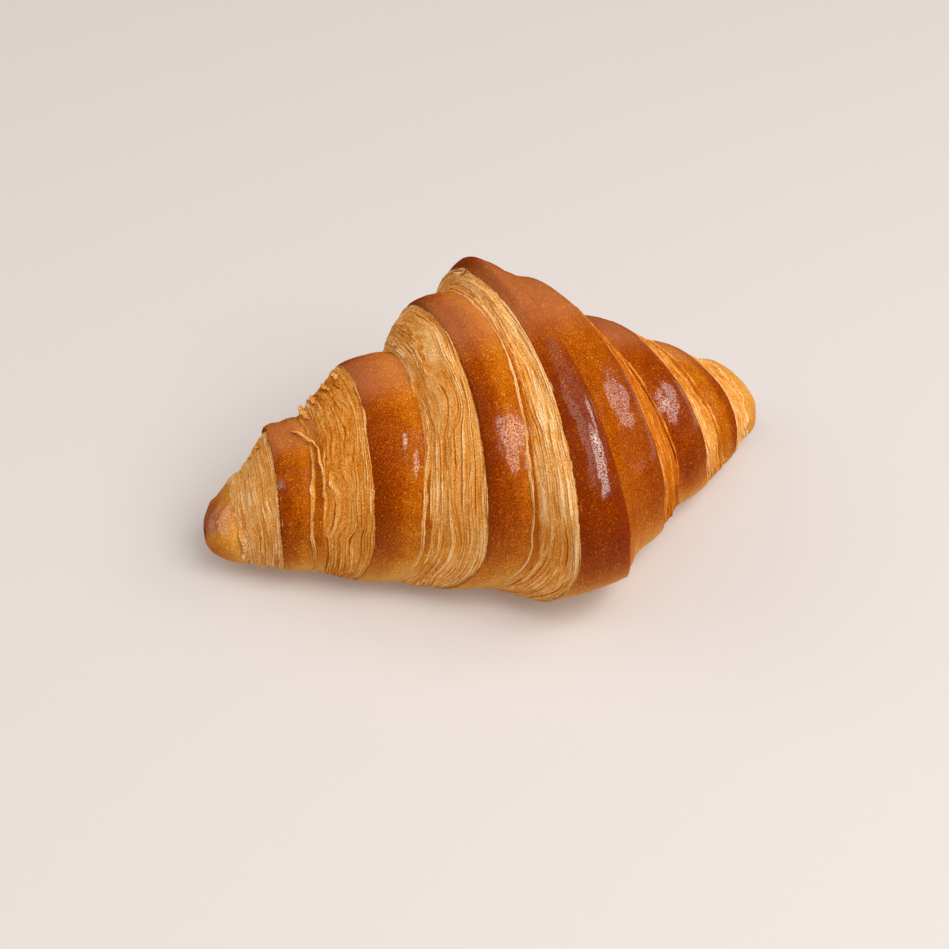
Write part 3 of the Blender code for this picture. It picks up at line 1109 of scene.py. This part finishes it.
def build_face(first, foot_first, count, paler, fuller, groove, wild):
    """One face of leaves, closed, between two hoops: the body's surface and the relief.

    Under the relief it is fuller by a parabola across the face, high up, and has a groove
    of one width along its foot, on the front.
    """
    seed = 2000 + 20 * first
    edges = (FACE_FOOT, FACE_RIM) if foot_first else (FACE_RIM, FACE_FOOT)
    place, down = closed_profile(first, first + 1, *edges, count * ROWS_PER_LEAF)
    outer = len(place) - WALL_ROWS
    place, angle = rings(place, FACE_AROUND)
    down = np.repeat(down[:, None], FACE_AROUND, axis=1)
    v = angle / (2 * np.pi)
    u = np.clip(place - first, 0, 1)
    u = u if foot_first else 1 - u
    low = low_down(angle)

    out = LAP * smooth(1 - u / LAP_WIDTH) - SUNK - LOW_SUNK * low
    out = out + fuller * 4 * u * (1 - u) * high_up(angle, 0.3, 0.5)
    grooved = rises(u, 0.05, 0.05) * smooth((0.22 - u) / 0.06)
    grooved = grooved * smooth((0.2 - np.cos(angle)) / 0.4)
    out = out - groove * grooved
    stray = noise(seed + 9, 1, 34, 0 * v, v) + 0.5 * noise(seed + 10, 1, 90, 0 * v, v)
    step = FOOT_STRAY / width_of(first, first + 1) * (1 if foot_first else -1)
    place = place - step * stray * smooth(1 - u / STRAY_WIDTH)
    points = on_body(place, angle, out - down)

    relief, pale, number = leaf_relief(seed, u[:outer], v[:outer], low[:outer], count, wild)
    relief = relief * np.clip(1 - 1.5 * down[:outer], 0, 1)
    normal = normals_of(points[:outer])
    outward = points[:outer] - points[:outer].mean(axis=1, keepdims=True)
    if (normal * outward).sum() < 0:
        normal = -normal
    points[:outer] += normal * relief[..., None]
    depth = down + 0.1
    depth[:outer] += 0.3 - np.minimum(relief, 0.3)
    points = keep_above_table(points - MIDDLE, depth)
    flat = points.reshape(-1, 3)

    shown = np.full(place.shape, HIDDEN_PALE)
    # paleness, lowered by the face's own amount, partly painted shade, and by painted shade in
    # the groove along the foot
    shown[:outer] = np.clip(pale + paler - 0.6 * groove * grooved[:outer], 0, 1)
    fibre = np.zeros((*place.shape, 3))
    fibre[:outer, :, 0] = number * THICK
    ring = FIBRE_ROUND * TABLE[first, 4]
    fibre[..., 1] = ring * np.cos(angle)
    fibre[..., 2] = ring * np.sin(angle)
    faces = facing_out(flat, hoop_faces(len(points), FACE_AROUND))
    return flat, faces, {"pale": shown, "fibre": fibre}


for name, *shape in FACES:
    dress(make_object(name, *build_face(*shape)), leaves)

# %% [markdown]
# ## Loose flakes
#
# Where a leaf has come away it lies on the crust or sticks out as a thin curled ribbon.
# Each ribbon follows a straight path in place and angle, lifts off the body in its middle
# or at its free end, and narrows to both ends. It is a flattened tube, so it is closed.

# %% Flakes
FLAKES = [  # place, angle, to place, angle; width and height in mm; whether its end is free
    (2.60, 88, 3.14, 112, 0.95, 1.7, False),
    (3.12, 110, 3.20, 138, 0.75, 0.7, False),
    (8.05, 62, 7.55, 57, 2.2, 2.0, True),
    (3.12, 84, 3.04, 62, 2.4, 2.2, True),
    (3.20, 78, 3.22, 60, 1.4, 1.6, True),
    (3.34, 80, 3.30, 62, 1.8, 1.7, True),
    (3.62, 78, 3.56, 62, 1.8, 1.2, True),
    (3.84, 78, 3.80, 64, 1.6, 1.0, True),
    (1.80, 78, 1.72, 60, 1.3, 0.9, True),
    (1.62, 76, 1.56, 58, 1.2, 0.8, True),
    (1.40, 76, 1.33, 58, 1.2, 0.7, True),
    (5.20, 74, 5.08, 60, 1.6, 1.0, True),
    (5.50, 74, 5.42, 60, 1.6, 0.9, True),
    (1.04, 138, 0.99, 186, 1.3, 0.7, False),
]
STEPS, SIDES = 22, 8  # points along a ribbon and round it
HALF_THICK = 0.07  # half a ribbon's thickness, in mm
CLEAR = 0.12  # how far its lowest part clears the body, in mm
SWAY = 0.03  # how far it sways along the body, in places
FLAKE_PALE = 0.62
FLAKE_FIBRE = (0.3, 0.3, 2.0)  # scale of the fibres' noise on a flake, for each mm


def build_flake(k, place, turn, to_place, to_turn, width, height, free):
    """One ribbon: at each step along its path a flat oval, width across and thin upwards."""
    t = np.linspace(0, 1, STEPS)
    sway = noise(900 + k, 6, 8, t, 0 * t + 0.3)
    path = place + (to_place - place) * t + SWAY * sway
    angle = np.radians(turn + (to_turn - turn) * t)
    lift = height * (t**1.5 if free else np.sin(np.pi * t)) + CLEAR
    middle = on_body(path, angle, lift) - MIDDLE
    above = on_body(path, angle, lift + 1.0) - MIDDLE
    up = (above - middle) / np.linalg.norm(above - middle, axis=1, keepdims=True)
    side = np.cross(np.gradient(middle, axis=0), up)
    side = side / np.linalg.norm(side, axis=1, keepdims=True)
    taper = np.clip(np.sin(np.pi * np.clip(0.12 + 0.86 * t, 0, 1)), 0.08, 1) ** 0.7
    half = width / 2 * taper * (1 + 0.35 * noise(950 + k, 7, 8, t, 0 * t + 0.6))
    around = np.linspace(0, 2 * np.pi, SIDES, endpoint=False)
    across = side[:, None] * (half[:, None] * np.cos(around))[..., None]
    thick = up[:, None] * (HALF_THICK * np.sin(around))[None, :, None]
    tube = (middle[:, None] + across + thick).reshape(-1, 3)
    i, j = np.meshgrid(np.arange(STEPS - 1), np.arange(SIDES), indexing="ij")
    quads = quads_of(i, j, i + 1, (j + 1) % SIDES, SIDES)
    ring = np.arange(SIDES)
    ends = np.stack([ring[::-1], ring + SIDES * (STEPS - 1)])
    return tube, facing_out(tube, quads, ends)


def build_flakes():
    """All flakes as one mesh."""
    tubes, blocks = [], []
    for k, flake in enumerate(FLAKES):
        tube, own_blocks = build_flake(k, *flake)
        blocks += [block + k * STEPS * SIDES for block in own_blocks]
        tubes.append(tube)
    points = np.concatenate(tubes)
    values = {"pale": np.full(len(points), FLAKE_PALE), "fibre": points * FLAKE_FIBRE}
    return points, blocks, values


dress(make_object("loose_flakes", *build_flakes()), leaves)

# %% [markdown]
# ## Floor
#
# A pale, slightly warm floor throws soft light back under the croissant. It glows a little
# itself, which keeps it even in brightness far from the lamps.

# %% Floor
FLOOR_REACH = 3.0  # metres from the middle to each side
FLOOR_COLOUR = (0.505, 0.495, 0.497, 1.0)
FLOOR_GLOW = (1.0, 0.82, 0.70, 1.0)

floor_mesh = bpy.data.meshes.new("floor")
signs = ((-1, -1), (1, -1), (1, 1), (-1, 1))
corners = [(x * FLOOR_REACH, y * FLOOR_REACH, 0.0) for x, y in signs]
floor_mesh.from_pydata(corners, [], [(0, 1, 2, 3)])
floor = bpy.data.objects.new("floor", floor_mesh)
bpy.context.scene.collection.objects.link(floor)
floor_finish = Finish("pale floor", Roughness=0.55, IOR=1.4, Base_Color=FLOOR_COLOUR,
                      Emission_Color=FLOOR_GLOW, Emission_Strength=0.18)
floor_mesh.materials.append(floor_finish.material)
print("floor is", 2 * FLOOR_REACH, "m across")

# %% [markdown]
# ## Light
#
# Glossy crust shows its lamps, so each softbox has a job. The key, high in front, lies in
# the left inner band, and narrower ones toward the right lie as a streak on the centre band
# and as spots on the bands beyond it. A broad one behind on the left picks out the leaves,
# one in front on the left fills their shadows, and one overhead and a pale world soften the
# rest.

# %% Lights
AIM_HEIGHT = 0.03  # metres over the floor
WARM_WHITE = (1.0, 0.95, 0.90)
WORLD_COLOUR = (1.0, 0.985, 0.965, 1.0)
SOFTBOXES = [  # name, azimuth (0 in front, positive to the right), elevation, m away, size, watts
    ("key softbox", 18, 50, 1.3, (0.82, 1.0), 12.6),
    ("right softbox", 76, 43, 1.4, (0.76, 0.50), 5.4),
    ("centre softbox", 48, 48, 1.4, (0.26, 0.60), 3.2),
    ("left softbox", -121, 38, 1.7, (1.9, 0.9), 8.2),
    ("front softbox", -55, 60, 1.7, (1.4, 1.2), 4.2),
    ("overhead", 0, 88, 1.6, (2.0, 2.0), 4.0),
]


def softbox(name, azimuth, elevation, distance, size, power):
    """A rectangular area light aimed at the middle of the body, on a sphere about it."""
    light = bpy.data.lights.new(name, "AREA")
    light.shape = "RECTANGLE"
    light.size, light.size_y = size
    light.energy = power
    light.color = WARM_WHITE
    lamp = bpy.data.objects.new(name, light)
    a, e = math.radians(azimuth), math.radians(elevation)
    away = np.array([math.sin(a) * math.cos(e), -math.cos(a) * math.cos(e), math.sin(e)])
    lamp.location = np.array([0.0, 0.0, AIM_HEIGHT]) + away * distance
    lamp.rotation_euler = (math.radians(90) - e, 0.0, a)
    bpy.context.scene.collection.objects.link(lamp)


for lamp in SOFTBOXES:
    softbox(*lamp)
world = bpy.data.worlds.new("studio")
world.use_nodes = True
world.node_tree.nodes["Background"].inputs["Color"].default_value = WORLD_COLOUR
world.node_tree.nodes["Background"].inputs["Strength"].default_value = 0.17
bpy.context.scene.world = world
bpy.context.scene.view_settings.view_transform = "Standard"
bpy.context.scene.view_settings.look = "None"
print(len(SOFTBOXES), "softboxes,", round(sum(lamp[-1] for lamp in SOFTBOXES), 1), "watts in all")
